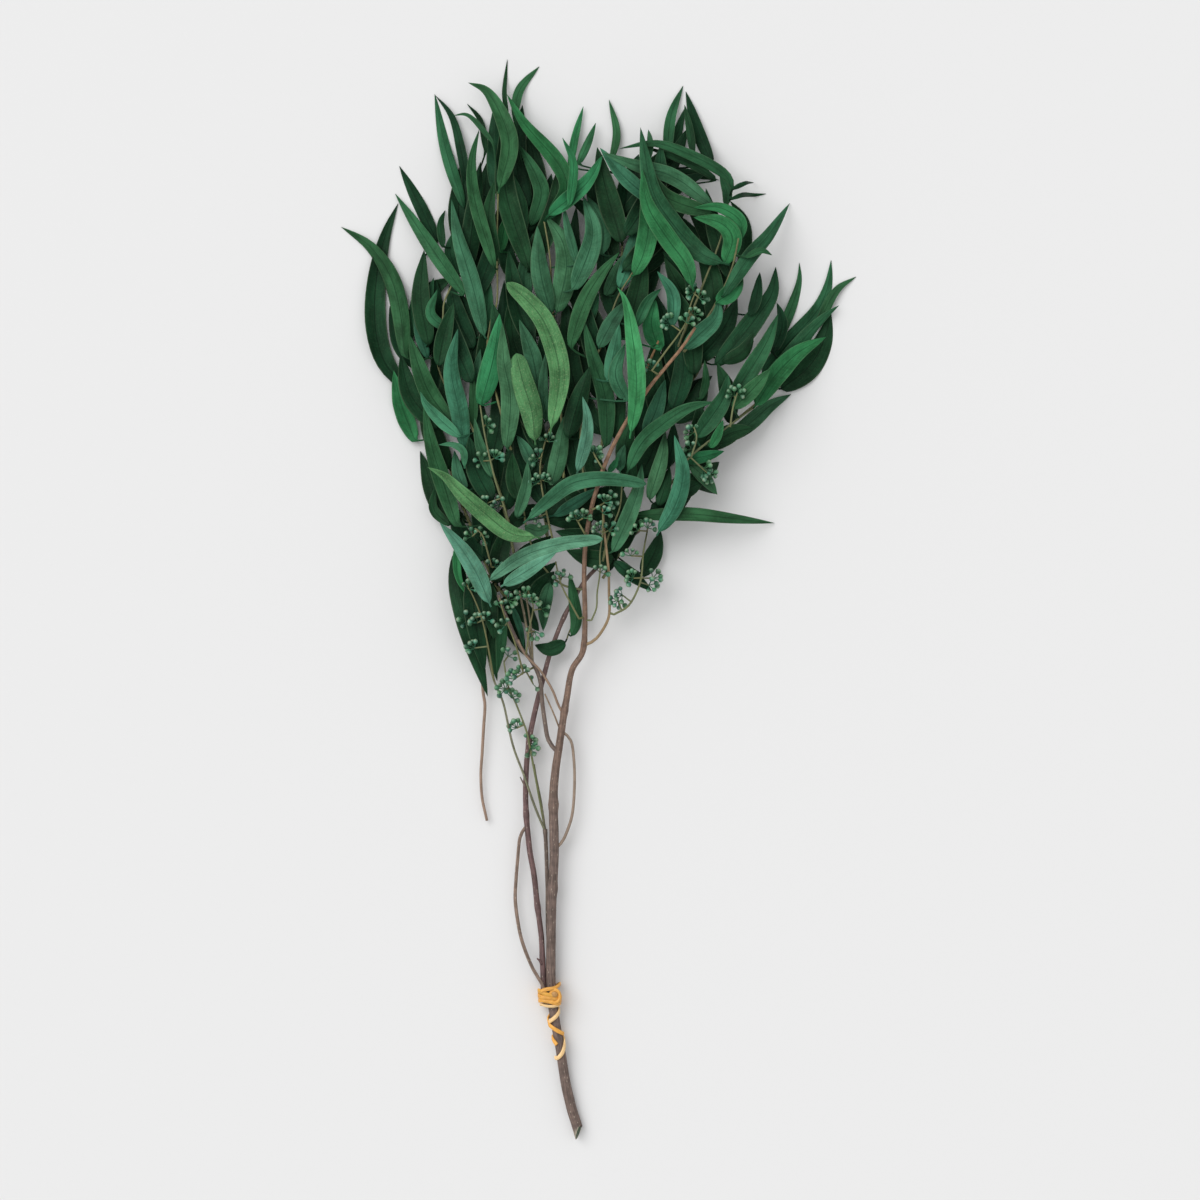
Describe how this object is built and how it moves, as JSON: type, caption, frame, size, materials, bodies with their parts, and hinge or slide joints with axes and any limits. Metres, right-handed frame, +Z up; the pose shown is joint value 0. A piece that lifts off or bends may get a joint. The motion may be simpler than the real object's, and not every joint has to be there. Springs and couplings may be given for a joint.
{
  "type": "tied bunch of seeded eucalyptus branches",
  "caption": "Tied bunch of seeded willow eucalyptus lying flat: woody stems held by a rubber band near the cut end, long narrow leaves and clusters of round buds fanning out.",
  "frame": {"origin": "on the surface the bunch lies on, under the middle of its bounding box", "axes": "+Y from the cut stem end towards the leaf tips, +Z up from the surface, +X to the right seen from above with the leaf tips away from the viewer"},
  "size_m": [0.372, 0.775, 0.0508],
  "materials": {
    "grey_brown_bark": "matt, finely fissured",
    "plum_bark": "matt, smooth",
    "orange_bark": "matt, smooth",
    "olive_bark": "matt",
    "lower_foliage": "waxy matt, in shade",
    "upper_foliage": "waxy matt",
    "front_leaves": "waxy satin",
    "seed_buds": "waxy satin",
    "band_rubber": "satin"
  },
  "bodies": {
    "root": {"second_stem": "plum_bark", "thin_left_stem": "grey_brown_bark", "dark_stem": "olive_bark", "loop_twig": "grey_brown_bark", "loose_twig": "orange_bark", "left_under_sprig": "lower_foliage", "left_low_sprig": "lower_foliage", "top_left_under_sprig": "lower_foliage", "top_middle_under_sprig": "lower_foliage", "top_right_under_sprig": "lower_foliage", "right_under_sprig": "lower_foliage", "far_right_sprig": "lower_foliage", "lower_right_sprig": "lower_foliage", "left_over_sprig": "upper_foliage", "top_left_over_sprig": "upper_foliage", "top_middle_over_sprig": "upper_foliage", "middle_over_sprig": "upper_foliage", "upper_right_over_sprig": "upper_foliage", "branch_end_sprig": "upper_foliage", "right_over_sprig": "upper_foliage", "lower_middle_sprig": "upper_foliage", "lower_leaf_pair": "upper_foliage", "centre_right_sprig": "upper_foliage", "main_stem": "grey_brown_bark", "left_branch": "grey_brown_bark", "cross_twig": "grey_brown_bark", "right_branch": "orange_bark", "left_seed_twig": "seed_buds", "lower_left_seed_twig": "seed_buds", "middle_seed_twig": "seed_buds", "outer_left_seed_twig": "seed_buds", "hanging_seed_twig": "seed_buds", "inner_left_seed_twig": "seed_buds", "centre_seed_twig": "seed_buds", "olive_seed_twig": "seed_buds", "stem_seed_umbels": "seed_buds", "branch_seed_umbels": "seed_buds", "upper_seed_umbels": "seed_buds", "right_seed_twig": "seed_buds", "inner_right_seed_twig": "seed_buds", "top_seed_twig": "seed_buds", "far_right_seed_twig": "seed_buds", "outer_right_seed_twig": "seed_buds", "crown_leaf": "front_leaves", "pale_leaf": "front_leaves", "speckled_leaf": "front_leaves", "bright_leaf": "front_leaves", "upper_long_leaf": "front_leaves", "upper_bright_leaf": "front_leaves", "white_tip_leaf": "front_leaves", "teal_leaf": "front_leaves", "bluish_leaf": "front_leaves", "cross_leaf": "front_leaves", "lower_cross_leaf": "front_leaves", "short_cross_leaf": "front_leaves", "left_front_leaf": "front_leaves", "long_diagonal_leaf": "front_leaves", "curled_leaf": "front_leaves", "rubber_band": "band_rubber"}
  },
  "joints": []
}
